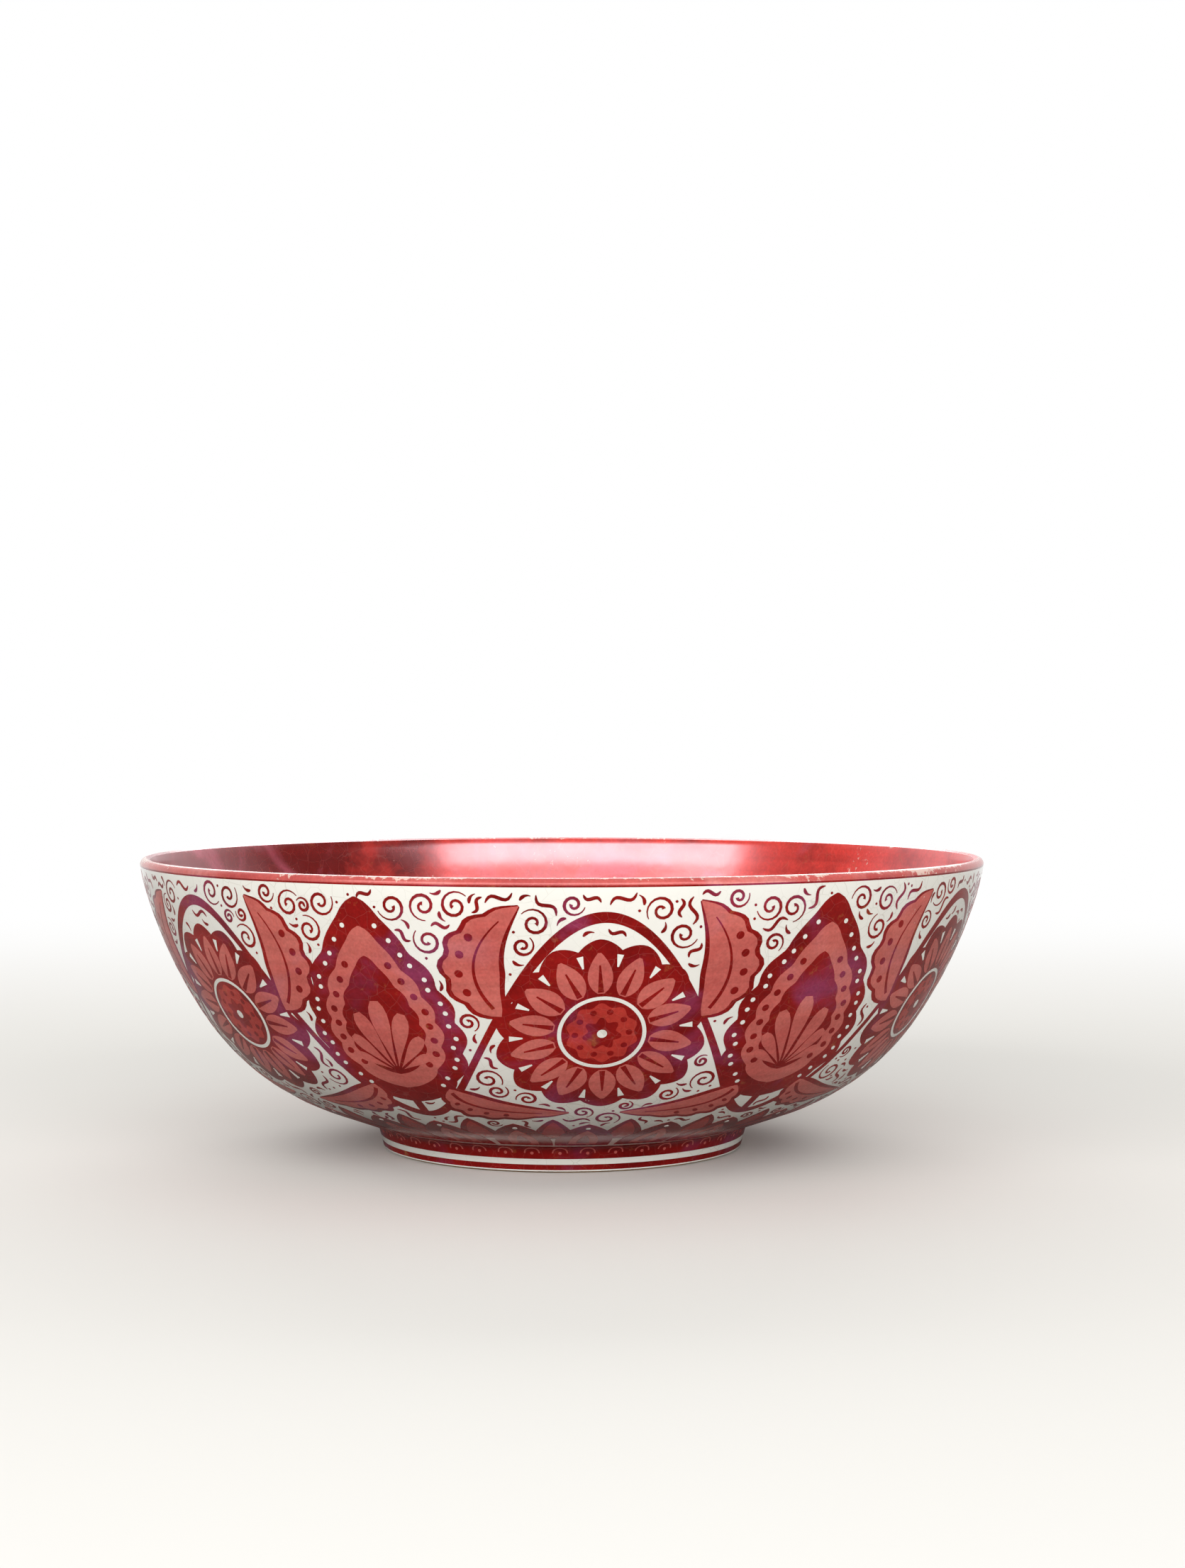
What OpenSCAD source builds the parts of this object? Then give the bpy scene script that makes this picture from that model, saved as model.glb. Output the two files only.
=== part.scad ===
// Lustreware bowl: a thrown earthenware bowl on a luted foot ring, tin glazed and painted in lustre.
// Every section is drawn in the half plane of radius and height, then turned about the upright axis.
// Millimetres, +Z up, with the origin at the middle of the ring that the foot rests on.

/* [Bowl] */
// Diameter across the lip
mouth_d = 360; // [330:1:396]
// Height from the resting plane to the top of the lip
bowl_h = 125; // [112:0.5:140]
// Thickness of the rounded lip and of the upper wall
lip_t = 5; // [4:0.1:7]
// Thickness of the floor at its middle
floor_t = 9; // [7:0.1:12]

/* [Wall curve] */
// Lean of the wall from upright just under the lip, in degrees
rim_lean = 9; // [6:0.5:12]
// Lean where the arc under the lip hands over to the long wall arc
shoulder_lean = 17; // [15:0.5:20]
// Lean where the long wall arc hands over to the belly arc
belly_lean = 34; // [30:0.5:38]
// Lean of the straight run down to the foot
base_lean = 70; // [67:0.5:72]
// Radius of the arc under the lip
rim_arc_r = 90; // [60:1:140]
// Length of the straight run above the foot
base_run = 25; // [18:0.5:32]
// Lean of the hollow where its long arc hands over to its lower arc
hollow_knee_lean = 28; // [26:0.5:31]
// Lean of the hollow where its lower arc hands over to the shallow floor
hollow_floor_lean = 81; // [79:0.5:83]

/* [Foot] */
// Diameter of the foot at the resting plane
foot_d = 154; // [136:1:176]
// Height at which the lines of the foot and the wall meet
foot_h = 10.5; // [10:0.1:14]
// Lean of the foot's outer side from upright, in degrees
foot_lean = 15; // [5:0.5:20]
// Width of the foot at the resting plane
foot_w = 9; // [7:0.1:14]
// Lean of the foot's inner side from upright, in degrees
foot_inner_lean = 10; // [0:0.5:20]
// Depth of the glazed recess inside the foot
recess_h = 8; // [6:0.1:8.6]
// Radius of the slip fillet between the wall and the foot
joint_fillet_r = 5; // [3:0.1:7]
// Radius of the slip fillet inside the foot
recess_fillet_r = 4; // [2:0.1:5]
// Bevel along both edges of the resting face
foot_bevel = 0.6; // [0.2:0.1:0.9]

/* [Glaze and lustre] */
// Thickness of the fired coat, glaze and lustre together
coat_t = 0.9; // [0.7:0.05:1.4]
// Depth of the lustre in that coat
lustre_t = 0.4; // [0.2:0.05:0.5]
// Height of the bare clay under the glaze line
bare_edge_h = 0.8; // [0.7:0.05:1]
// Height of the cream edge between the bare clay and the lower band
cream_edge_h = 0.5; // [0.3:0.05:1]
// Height of the lower lustre band on the foot
lower_band_h = 2.3; // [1.5:0.1:2.8]
// Height of the cream line between the two bands
cream_line_h = 2.4; // [1.5:0.1:2.8]
// How far the upper band runs on up the wall from the joint
upper_band_run = 4; // [3.5:0.1:8]

/* [Hidden] */
$fn = 240;

clay = "#c9a27e";
cream = "#e9e6da";
ruby = "#8e1a1b";

// Unit vector out of a wall that leans from upright by the given angle
function outward(lean) = [cos(lean), -sin(lean)];

// Unit vector down such a wall
function downward(lean) = [-sin(lean), -cos(lean)];

// Step from start to end of an arc of radius 1 between two leans
function arc_step(from, to) = outward(to) - outward(from);

// Radii of two arcs whose steps add up to the given gap
function two_radii(step_a, step_b, gap) =
    [cross(gap, step_b), cross(step_a, gap)] / cross(step_a, step_b);

// A station of a curve is a point and the lean of the curve there. Between two stations of one lean
// the curve is straight, and otherwise it is an arc of this radius, below zero where it curves inwards.
function arc_radius(a, b) = a[1] == b[1] ? 0 : let (step = arc_step(a[1], b[1])) (b[0] - a[0]) * step / (step * step);

// The next station, at the end of an arc of the given radius
function arc_to(station, radius, lean) = [station[0] + radius * arc_step(station[1], lean), lean];

// The next station, at the end of a straight run of the given length
function run_to(station, length) = [station[0] + length * downward(station[1]), station[1]];

// Where a line through p along u meets the level z
function at_level(p, u, z) = p + u * (z - p[1]) / u[1];

// Middle and crown of the round lip
lip_r = lip_t / 2;
lip_c = [mouth_d / 2 - lip_r, bowl_h - lip_r];
crown = [lip_c[0], bowl_h];

// Levels of the clay base, the glazed floor and the edges of the painted bands
base_z = recess_h + coat_t;
floor_z = recess_h + floor_t;
rim_edge_z = lip_c[1];
lower_band_z = bare_edge_h + cream_edge_h;
cream_line_z = lower_band_z + lower_band_h;
upper_band_z = cream_line_z + cream_line_h;

// The corner where the lines of the foot and the wall meet, and the run of its fillet along each
foot_corner = [foot_d / 2 + foot_h * tan(foot_lean), foot_h];
fillet_run = joint_fillet_r * tan((base_lean - foot_lean) / 2);
upper_band_r = foot_corner[0] + upper_band_run;

// Outer wall: the lip, an arc under it, two arcs that land on the straight run, and the joint fillet
wall_crown = [crown, -90];
wall_start = arc_to(wall_crown, lip_r, rim_lean);
wall_shoulder = arc_to(wall_start, rim_arc_r, shoulder_lean);
wall_end = [foot_corner - base_run * downward(base_lean), base_lean];
wall_radii = two_radii(
    arc_step(shoulder_lean, belly_lean), arc_step(belly_lean, base_lean), wall_end[0] - wall_shoulder[0]
);
wall_belly = arc_to(wall_shoulder, wall_radii[0], belly_lean);
fillet_top = run_to(wall_end, base_run - fillet_run);
fillet_foot = arc_to(fillet_top, -joint_fillet_r, foot_lean);
wall = [wall_crown, wall_start, wall_shoulder, wall_belly, wall_end, fillet_top, fillet_foot];
bowl_wall = [wall_crown, wall_start, wall_shoulder, wall_belly, wall_end];

// Hollow: the lip, two arcs parallel to the wall, and two arcs that land level on the axis
hollow_crown = [crown, 90];
hollow_start = arc_to(hollow_crown, -lip_r, rim_lean);
hollow_shoulder = arc_to(hollow_start, rim_arc_r - lip_t, shoulder_lean);
hollow_knee = arc_to(hollow_shoulder, wall_radii[0] - lip_t, hollow_knee_lean);
hollow_radii = two_radii(
    arc_step(hollow_knee_lean, hollow_floor_lean), arc_step(hollow_floor_lean, 90),
    [0, floor_z] - hollow_knee[0]
);
hollow_floor = arc_to(hollow_knee, hollow_radii[0], hollow_floor_lean);
hollow_base = [hollow_shoulder, hollow_knee, hollow_floor, [[0, floor_z], 90]];
hollow = concat([hollow_crown, hollow_start], hollow_base);

// The same, begun at the widest level of the lip's outer side
lip_edge = arc_to(hollow_crown, -lip_r, 180);
hollow_and_lip = concat([lip_edge, hollow_start], hollow_base);

// Ways to close a section from the lip to the axis: straight up first, leaning out, leaning in, level first,
// or falling away
closed_up = [[crown[0], bowl_h + lip_t], [0, bowl_h + lip_t]];
closed_out = [[mouth_d, bowl_h + mouth_d / 2], [0, bowl_h + mouth_d / 2]];
closed_in = [[0, bowl_h - lip_t]];
closed_level = [[2 * mouth_d, rim_edge_z], [2 * mouth_d, 2 * bowl_h], [0, 2 * bowl_h]];
closed_low = [[3 * mouth_d, rim_edge_z - lip_t], [3 * mouth_d, 3 * bowl_h], [0, 3 * bowl_h]];

// Where the foot's outer side, set back by depth, is at a level
function foot_side(depth, z) = at_level(foot_corner - depth * outward(foot_lean), downward(foot_lean), z);

// Where the foot's inner side, set back by depth, is at a level
function foot_inside(depth, z) =
    [foot_d / 2 - foot_w + depth / cos(foot_inner_lean) - z * tan(foot_inner_lean), z];

// Where the straight run of the wall under the coat would reach the clay base
bowl_edge = at_level(foot_corner - coat_t * outward(base_lean), downward(base_lean), base_z);

// Fillet inside the foot: its middle, and the directions from there to the side and the ceiling
recess_c = foot_inside(-recess_fillet_r, recess_h - recess_fillet_r);
to_side = [cos(foot_inner_lean), sin(foot_inner_lean)];
to_ceiling = [0, 1];

// Part of a disc beyond the chord between two points of its edge, with a lap as deep again behind the chord
module segment(centre, radius, p, q) {
    middle = p + q - 2 * centre;
    lap = p + q - centre - radius * middle / norm(middle);
    intersection() {
        translate(centre) circle(r = radius);
        polygon([p, 2 * p - centre, 2 * q - centre, q, lap]);
    }
}

// Part of a disc between the radii through two points of its edge
module sector(centre, radius, p, q) {
    middle = p + q - 2 * centre;
    intersection() {
        translate(centre) circle(r = radius);
        polygon([centre, 2 * p - centre, centre + 2 * radius * middle / norm(middle), 2 * q - centre]);
    }
}

// Section between the axis and a curve of stations that is pushed outwards by grow.
// Its bottom and top are closed along the given points, from the axis out and from the curve in.
module room(stations, grow, bottom, top) {
    last = len(stations) - 1;
    edge = [for (s = stations) s[0] + grow * outward(s[1])];
    radius = [for (i = [0 : last - 1]) arc_radius(stations[i], stations[i + 1])];
    centre = [for (i = [0 : last - 1]) stations[i][0] - radius[i] * outward(stations[i][1])];
    difference() {
        union() {
            polygon(concat(bottom, [for (i = [last : -1 : 0]) edge[i]], top));
            for (i = [0 : last - 1])
                if (radius[i] > 0) segment(centre[i], radius[i] + grow, edge[i], edge[i + 1]);
        }
        for (i = [0 : last - 1])
            if (radius[i] < 0) sector(centre[i], -radius[i] - grow, edge[i], edge[i + 1]);
    }
}

// Section of all that the outer wall and the foot enclose, set back by depth, down to a level
module outside(depth, low_z, top) {
    room(wall, -depth, [[0, low_z], foot_side(depth, low_z)], top);
}

// Section of the recess inside the foot, set back by depth, down to a level
module recess(depth, low_z) {
    radius = recess_fillet_r + depth;
    side = recess_c + radius * to_side;
    ceiling = recess_c + radius * to_ceiling;
    polygon([[0, low_z], foot_inside(depth, low_z), side, ceiling, [0, ceiling[1]]]);
    segment(recess_c, radius, side, ceiling);
}

// Section of a slab of the half plane between two levels and out to a radius
module level_slab(low_z, high_z, out_r) {
    translate([0, low_z]) square([out_r, high_z - low_z]);
}

// Section above a level that lies in the first child and out of the second, cut from one plain cover
module shell(low_z) {
    difference() {
        level_slab(low_z, bowl_h + lip_t, mouth_d);
        difference() {
            level_slab(-lip_t, bowl_h + 2 * lip_t, 2 * mouth_d);
            children(0);
        }
        children(1);
    }
}

// Section of the outer coat between two depths, from the glaze line to the crown of the lip
module outer_coat(shallow, deep) {
    shell(bare_edge_h) {
        outside(shallow, 0, closed_in);
        outside(deep, 0, closed_up);
    }
}

// A ring of the given section about the upright axis
module turned() {
    rotate_extrude() children();
}

// Where the lustre of the hollow runs on over the lip, as a slab of the section
module lip_zone() {
    level_slab(rim_edge_z, bowl_h + lip_t, mouth_d);
}

// Where the upper band is: from the cream line through the joint fillet to the wall
module upper_band_zone() {
    level_slab(upper_band_z, bowl_h / 2, upper_band_r);
}

// Where the lower band is
module lower_band_zone() {
    level_slab(lower_band_z, cream_line_z, mouth_d);
}

// Section of a lustre band that fills the top of the coat over a zone
module band_section() {
    intersection() {
        outer_coat(0, lustre_t);
        children();
    }
}

// Room that lustre takes in the top of the coat over a zone, open outwards
module band_room() {
    difference() {
        children();
        outside(lustre_t, 0, closed_in);
    }
}

// Thrown earthenware wall and floor, with a full round lip and a flat base
module thrown_bowl() {
    color(clay) turned() difference() {
        room(bowl_wall, -coat_t, [[0, base_z], bowl_edge], closed_up);
        room(hollow, coat_t, [], closed_out);
    }
}

// Turned foot ring, bare along its bevelled resting face
module foot_ring() {
    bevel = [foot_bevel, 0];
    color(clay) turned() polygon([
        foot_inside(coat_t, foot_bevel),
        foot_inside(coat_t, 0) + bevel,
        foot_side(coat_t, 0) - bevel,
        foot_side(coat_t, foot_bevel),
        foot_side(coat_t, base_z),
        foot_inside(coat_t, base_z)
    ]);
}

// Slip that lutes the ring to the base: it fills the groove outside, and is a bead inside
module luting_slip() {
    groove_r = joint_fillet_r + coat_t;
    groove_top = fillet_top[0] - coat_t * outward(base_lean);
    groove_foot = fillet_foot[0] - coat_t * outward(foot_lean);
    groove_c = fillet_top[0] + joint_fillet_r * outward(base_lean);
    bead_r = recess_fillet_r + coat_t;
    bead_side = recess_c + bead_r * to_side;
    bead_top = recess_c + bead_r * to_ceiling;
    color(clay) turned() {
        difference() {
            polygon([bowl_edge, foot_side(coat_t, base_z), groove_foot, groove_top]);
            sector(groove_c, groove_r, groove_foot, groove_top);
        }
        difference() {
            polygon([bead_side, foot_inside(coat_t, base_z), bead_top]);
            sector(recess_c, bead_r, bead_side, bead_top);
        }
    }
}

// Cream tin glaze over the outer wall and foot, with the lustre bands let into it
module outer_glaze() {
    color(cream) turned() difference() {
        outer_coat(0, coat_t);
        band_room() lip_zone();
        band_room() upper_band_zone();
        band_room() lower_band_zone();
    }
}

// Cream tin glaze under the lustre of the hollow
module inner_glaze() {
    color(cream) turned() shell(0) {
        room(hollow, coat_t, [], closed_up);
        room(hollow, lustre_t, [], closed_out);
    }
}

// Cream tin glaze in the recess inside the foot
module base_glaze() {
    color(cream) turned() difference() {
        recess(coat_t, bare_edge_h);
        recess(0, 0);
    }
}

// Red lustre all over the hollow, over the lip and down to the widest level of its outer side
module lustre_lining() {
    color(ruby) turned() shell(0) {
        room(hollow_and_lip, lustre_t, [], closed_level);
        room(hollow_and_lip, 0, [], closed_low);
    }
}

// Dark lustre band from the cream line through the joint
module upper_foot_band() {
    color(ruby) turned() band_section() upper_band_zone();
}

// Dark lustre band above the cream edge of the foot
module lower_foot_band() {
    color(ruby) turned() band_section() lower_band_zone();
}

thrown_bowl();
foot_ring();
luting_slip();
outer_glaze();
inner_glaze();
base_glaze();
lustre_lining();
upper_foot_band();
lower_foot_band();
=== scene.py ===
import bpy
import numpy as np
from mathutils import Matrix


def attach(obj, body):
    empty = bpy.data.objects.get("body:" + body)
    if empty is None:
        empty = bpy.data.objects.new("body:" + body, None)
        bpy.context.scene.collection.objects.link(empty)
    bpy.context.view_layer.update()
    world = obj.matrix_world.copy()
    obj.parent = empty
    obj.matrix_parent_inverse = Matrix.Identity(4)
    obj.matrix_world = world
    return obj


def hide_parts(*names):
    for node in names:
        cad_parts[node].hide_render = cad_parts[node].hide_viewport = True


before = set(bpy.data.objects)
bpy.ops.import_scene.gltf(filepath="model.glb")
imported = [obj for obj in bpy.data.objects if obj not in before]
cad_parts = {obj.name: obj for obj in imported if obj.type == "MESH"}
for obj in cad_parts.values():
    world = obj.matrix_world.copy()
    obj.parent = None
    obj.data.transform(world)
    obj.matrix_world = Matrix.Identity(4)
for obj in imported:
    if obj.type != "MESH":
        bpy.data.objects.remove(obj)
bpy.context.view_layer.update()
scene = bpy.context.scene
scene.view_settings.view_transform = "Standard"


# Camera
# It stands about a metre in front of the bowl and just above its rim, a little to the right of the
# bowl's axis, and looks very slightly down through a normal lens.
look_down = np.radians(1.201)
camera_data = bpy.data.cameras.new("camera")
camera_data.sensor_width = 36.0
camera_data.lens = 59.13
camera = bpy.data.objects.new("camera", camera_data)
camera.location = (0.013, -1.1124, 0.1788)
camera.rotation_euler = (np.pi / 2 - look_down, 0.0, 0.0)
scene.collection.objects.link(camera)
scene.camera = camera


# Floor
# A large plain pale floor of matt paint. It holds the bowl's shadow close by, and turns into the white
# of the surroundings further out, so that no edge shows.
def linear(hex_colour):
    """Linear colour of an sRGB hex value: each channel goes back through the sRGB curve."""
    channel = np.array([int(hex_colour[i:i + 2], 16) for i in (1, 3, 5)]) / 255.0
    curve = np.where(channel <= 0.04045, channel / 12.92, ((channel + 0.055) / 1.055) ** 2.4)
    return (*curve.tolist(), 1.0)


def add(tree, kind, sockets=None, **settings):
    """Add a node with its own settings. Each socket takes a value, or a link where it is given an output."""
    made = tree.nodes.new("ShaderNode" + kind)
    for name, value in settings.items():
        setattr(made, name, value)
    for name, value in (sockets or {}).items():
        if isinstance(value, bpy.types.NodeSocket):
            tree.links.new(value, made.inputs[name])
        else:
            made.inputs[name].default_value = value
    return made


def blank(name):
    """A new material with an empty node tree and its output."""
    material = bpy.data.materials.new(name)
    material.use_nodes = True
    material.node_tree.nodes.clear()
    return material, material.node_tree, add(material.node_tree, "OutputMaterial")


millimetre = 0.001
sharp_edge = np.radians(40.0)


def shaped(name, parts):
    """One mesh object from parts of vertices in millimetres, quads and triangles, in metres at the origin.
    Smooth shading stops at sharp edges."""
    points, quads, triangles = [], [], []
    first = 0
    for vertices, four, three in parts:
        points.append(vertices)
        quads.append(four + first)
        triangles.append(three + first)
        first += len(vertices)
    points = np.concatenate(points) * millimetre
    quads = np.concatenate(quads)
    triangles = np.concatenate(triangles)
    corners = np.concatenate([quads.ravel(), triangles.ravel()])
    starts = np.concatenate([4 * np.arange(len(quads)), 4 * len(quads) + 3 * np.arange(len(triangles))])
    mesh = bpy.data.meshes.new(name)
    mesh.vertices.add(len(points))
    mesh.vertices.foreach_set("co", points.ravel())
    mesh.loops.add(len(corners))
    mesh.loops.foreach_set("vertex_index", corners.astype(np.int32))
    mesh.polygons.add(len(starts))
    mesh.polygons.foreach_set("loop_start", starts.astype(np.int32))
    mesh.update(calc_edges=True)
    mesh.polygons.foreach_set("use_smooth", np.ones(len(starts), dtype=bool))
    mesh.set_sharp_from_angle(angle=sharp_edge)
    piece = bpy.data.objects.new(name, mesh)
    scene.collection.objects.link(piece)
    return piece


no_triangles = np.zeros((0, 3), dtype=np.int64)
floor_reach = 7000.0
floor_corners = floor_reach * np.array([[-1, -1, 0], [1, -1, 0], [1, 1, 0], [-1, 1, 0]], dtype=float)
floor = shaped("floor", [(floor_corners, np.array([[0, 1, 2, 3]]), no_triangles)])

# Matt paint: no gloss, even in colour, pale to the eye, and darker in the light that it throws on the bowl
shadow_reach, white_from = 0.35, 1.5
floor_material, tree, output = blank("matt_floor_paint")
coords = add(tree, "TexCoord")
distance = add(tree, "VectorMath", {0: coords.outputs["Object"]}, operation="LENGTH")
far = add(tree, "MapRange", {
    "Value": distance.outputs["Value"], "From Min": shadow_reach, "From Max": white_from,
}, interpolation_type="SMOOTHSTEP")
path = add(tree, "LightPath")
seen = add(tree, "Math", {
    0: path.outputs["Is Camera Ray"], 1: path.outputs["Is Glossy Ray"],
}, operation="MAXIMUM")
seen = add(tree, "Math", {0: seen.outputs[0], 1: path.outputs["Is Transmission Ray"]}, operation="MAXIMUM")
whiten = add(tree, "Math", {0: seen.outputs[0], 1: far.outputs["Result"]}, operation="MULTIPLY")
paint_colour = add(tree, "Mix", {
    0: path.outputs["Is Camera Ray"], 6: linear("#8a8884"), 7: linear("#e4e2dd"),
}, data_type="RGBA")
paint_shader = add(tree, "BsdfDiffuse", {"Color": paint_colour.outputs[2]})
white_shader = add(tree, "Emission", {"Color": (1.0, 1.0, 1.0, 1.0), "Strength": 1.0})
mixed = add(tree, "MixShader", {0: whiten.outputs[0], 1: paint_shader.outputs[0], 2: white_shader.outputs[0]})
tree.links.new(mixed.outputs[0], output.inputs["Surface"])
floor.data.materials.append(floor_material)


# Light
# White surroundings behind the bowl as in a high-key studio, dimmer ones on the camera's side, three large
# soft boxes in an arc above the camera, which the glossy hollow mirrors as one broad window, a low one to
# the right and one behind.
room_light = 0.54
camera_side = 0.03
world = bpy.data.worlds.new("studio")
scene.world = world
world.use_nodes = True
tree = world.node_tree
tree.nodes.clear()
path = add(tree, "LightPath")
mirrored = add(tree, "Math", {
    0: path.outputs["Is Glossy Ray"], 1: path.outputs["Is Transmission Ray"],
}, operation="MAXIMUM")
coords = add(tree, "TexCoord")
direction = add(tree, "SeparateXYZ", {0: coords.outputs["Generated"]})
backdrop = add(tree, "MapRange", {
    "Value": direction.outputs["Y"], "From Min": 0.1, "From Max": 0.7, "To Min": camera_side, "To Max": 1.0,
})
level = add(tree, "Mix", {0: mirrored.outputs[0], 2: room_light, 3: backdrop.outputs["Result"]})
level = add(tree, "Mix", {0: path.outputs["Is Camera Ray"], 2: level.outputs[0], 3: 1.0})
surroundings = add(tree, "Background", {"Color": (1.0, 1.0, 1.0, 1.0), "Strength": level.outputs[0]})
output = add(tree, "OutputWorld", {"Surface": surroundings.outputs[0]})


def soft_box(name, place, aim, width, height, watts):
    """A rectangular area lamp at a place, turned to face its aim."""
    lamp_data = bpy.data.lights.new(name, "AREA")
    lamp_data.shape = "RECTANGLE"
    lamp_data.size = width
    lamp_data.size_y = height
    lamp_data.energy = watts
    lamp = bpy.data.objects.new(name, lamp_data)
    lamp.location = place
    away = np.array(place) - np.array(aim)
    spread = np.hypot(away[0], away[1])
    lamp.rotation_euler = (np.arctan2(spread, away[2]), 0.0, np.arctan2(away[0], -away[1]))
    scene.collection.objects.link(lamp)


bowl_middle = (0.0, 0.0, 0.07)
soft_box("front_soft_box", (0.0, -2.7, 1.2), bowl_middle, width=2.2, height=1.0, watts=43.0)
soft_box("left_soft_box", (-1.78, -2.03, 1.2), bowl_middle, width=1.7, height=1.0, watts=31.0)
soft_box("right_soft_box", (1.39, -2.31, 1.2), bowl_middle, width=0.9, height=1.0, watts=14.0)
soft_box("low_right_soft_box", (2.0, -1.8, 0.4), bowl_middle, width=1.2, height=0.5, watts=10.0)
soft_box("back_soft_box", (0.0, 2.6, 1.5), bowl_middle, width=2.6, height=1.0, watts=40.0)


# Clay body
# The bowl was thrown from buff earthenware, its foot ring turned apart and luted on with slip. All of
# it is glazed over but the foot's resting edge.
grit_size, stain_size = 0.0016, 0.014

# Bare earthenware: matt, warm buff, with fine grit and darker stains from the surfaces it stood on
clay_material, tree, output = blank("buff_earthenware")
place = add(tree, "TexCoord").outputs["Object"]
grit = add(tree, "TexNoise", {"Vector": place, "Scale": 1 / grit_size, "Detail": 4.0})
stain = add(tree, "TexNoise", {"Vector": place, "Scale": 1 / stain_size, "Detail": 3.0})
warm = add(tree, "Mix", {
    0: grit.outputs["Fac"], 6: linear("#b58c68"), 7: linear("#d9b892"),
}, data_type="RGBA")
stained = add(tree, "MapRange", {
    "Value": stain.outputs["Fac"], "From Min": 0.45, "From Max": 0.7, "To Max": 0.6,
})
toned = add(tree, "Mix", {
    0: stained.outputs["Result"], 6: warm.outputs[2], 7: linear("#8a6a52"),
}, data_type="RGBA")
rough = add(tree, "Bump", {"Height": grit.outputs["Fac"], "Strength": 0.4, "Distance": 0.0003})
shader = add(tree, "BsdfPrincipled", {
    "Base Color": toned.outputs[2], "Normal": rough.outputs["Normal"], "Roughness": 0.85,
})
tree.links.new(shader.outputs[0], output.inputs["Surface"])
for node_name in ("thrown_bowl", "foot_ring", "luting_slip"):
    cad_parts[node_name].data.materials.clear()
    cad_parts[node_name].data.materials.append(clay_material)


# Tin glaze outside
# A thick cream glaze over the whole outer wall and the foot, dipped and fired, with a fine brown
# crackle. It stops a little above the resting face.
mouth_r = 180.0
bowl_h = 125.0
lip_r = 2.5
rim_lean, shoulder_lean, belly_lean, base_lean = np.radians([9.0, 17.0, 34.0, 70.0])
rim_arc_r = 90.0
base_run = 25.0
foot_r = 77.0
foot_h = 10.5
foot_lean = np.radians(15.0)
joint_r = 5.0
glaze_line_z = 0.8
coat_t = 0.9
lustre_t = 0.4
rim_band_z = 122.4
upper_band_run = 4.0
cream_line_z = 6.0
lower_band_z = 3.6
cream_edge_z = 1.3


def outward(lean):
    """Radius and height of the unit vector out of a wall that leans from upright by the given angle."""
    return np.stack([np.cos(lean), -np.sin(lean)], axis=-1)


def downward(lean):
    """Radius and height of the unit vector down such a wall."""
    return np.stack([-np.sin(lean), -np.cos(lean)], axis=-1)


def two_radii(leans, gap):
    """Radii of two arcs in a row whose steps add up to the gap, each step being the turn of the outward
    vector times its radius."""
    first = outward(leans[1]) - outward(leans[0])
    second = outward(leans[2]) - outward(leans[1])
    return np.linalg.solve(np.stack([first, second], axis=1), gap)


def curve(start, lean, legs):
    """Length along, radius, height and lean of a curve from its start. A leg is a radius and an end lean,
    for an arc that goes on smoothly, or a length and no lean, for a straight run."""
    points, leans = [np.array([start])], [np.array([lean])]
    for size, end in legs:
        if end is None:
            along = np.linspace(0.0, size, 60)[1:]
            points.append(points[-1][-1] + along[:, None] * downward(lean))
            leans.append(np.full(len(along), lean))
        else:
            turn = np.linspace(lean, end, 240)[1:]
            centre = points[-1][-1] - size * outward(lean)
            points.append(centre + size * outward(turn))
            leans.append(turn)
            lean = end
    points, leans = np.concatenate(points), np.concatenate(leans)
    steps = np.linalg.norm(np.diff(points, axis=0), axis=1)
    return np.concatenate([[0.0], np.cumsum(steps)]), points[:, 0], points[:, 1], leans


crown = np.array([mouth_r - lip_r, bowl_h])
lip_c = crown - [0.0, lip_r]
foot_corner = np.array([foot_r + foot_h * np.tan(foot_lean), foot_h])
shoulder = lip_c + lip_r * outward(rim_lean) + rim_arc_r * (outward(shoulder_lean) - outward(rim_lean))
wall_end = foot_corner - base_run * downward(base_lean)
wall_radii = two_radii([shoulder_lean, belly_lean, base_lean], wall_end - shoulder)
joint_run = joint_r * np.tan((base_lean - foot_lean) / 2)
side_top_z = foot_h - joint_run * np.cos(foot_lean)
foot_side = (side_top_z - glaze_line_z) / np.cos(foot_lean)
wall_s, wall_r, wall_z, wall_lean = curve(crown, -np.pi / 2, [
    (lip_r, rim_lean), (rim_arc_r, shoulder_lean), (wall_radii[0], belly_lean), (wall_radii[1], base_lean),
    (base_run - joint_run, None), (-joint_r, foot_lean), (foot_side, None),
])
glaze_end_s = wall_s[-1]


def roundness(theta):
    """How far the hand-thrown bowl is from round: its radius grows and shrinks two and three times a turn."""
    return 1.0 + 0.0010 * np.sin(2 * theta + 0.7) + 0.0005 * np.sin(3 * theta + 2.0)


ripple_depth, ripple_step = 0.025, 11.0
ripple_start, ripple_end, ripple_fade = 12.0, 150.0, 20.0


def on_wall(theta, along, lift):
    """Point of the outer wall at an angle and a length down from the crown, lifted out of the surface.
    Angle 0 faces the camera. Shallow throwing rings, a sine along the wall, ripple it below the rim."""
    lean = np.interp(along, wall_s, wall_lean)
    ripple = ripple_depth * np.sin(2 * np.pi * along / ripple_step + 1.2 * np.sin(theta))
    fade_in = np.clip((along - ripple_start) / ripple_fade, 0.0, 1.0)
    fade_out = np.clip((ripple_end - along) / ripple_fade, 0.0, 1.0)
    out = lift + ripple * fade_in * fade_out
    radius = (np.interp(along, wall_s, wall_r) + out * np.cos(lean)) * roundness(theta)
    height = np.interp(along, wall_s, wall_z) - out * np.sin(lean)
    return np.stack([radius * np.sin(theta), -radius * np.cos(theta), height], axis=-1)


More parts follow.
